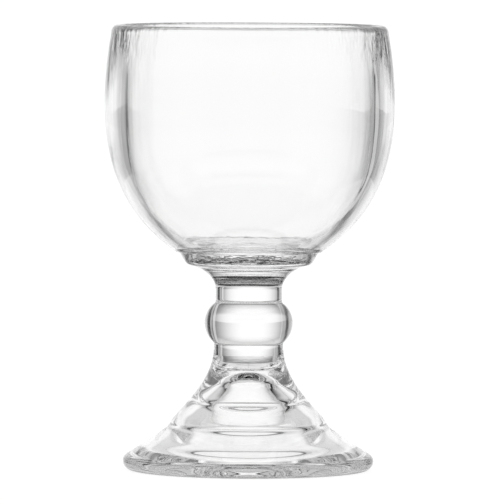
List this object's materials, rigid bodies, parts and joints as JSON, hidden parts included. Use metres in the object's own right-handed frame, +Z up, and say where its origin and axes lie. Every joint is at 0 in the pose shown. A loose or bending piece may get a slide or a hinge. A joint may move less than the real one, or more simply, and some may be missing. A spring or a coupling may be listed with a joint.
{
  "type": "stemmed drinking glass",
  "caption": "Heavy clear pressed-glass goblet: thick round bowl with a rounded rim, collar, short stem with a ring knop, and a hollow trumpet foot.",
  "frame": {"origin": "on the table, under the middle of the foot", "axes": "+Z up along the axis of the glass, from the foot to the rim; the glass is round, so X and Y are alike"},
  "size_m": [0.1108, 0.1108, 0.17],
  "materials": {
    "clear_glass": "clear, colourless, fire polished, smooth"
  },
  "bodies": {
    "root": {"foot": "clear_glass", "lower_stem": "clear_glass", "knop": "clear_glass", "neck": "clear_glass", "collar": "clear_glass", "bowl": "clear_glass"}
  },
  "joints": []
}
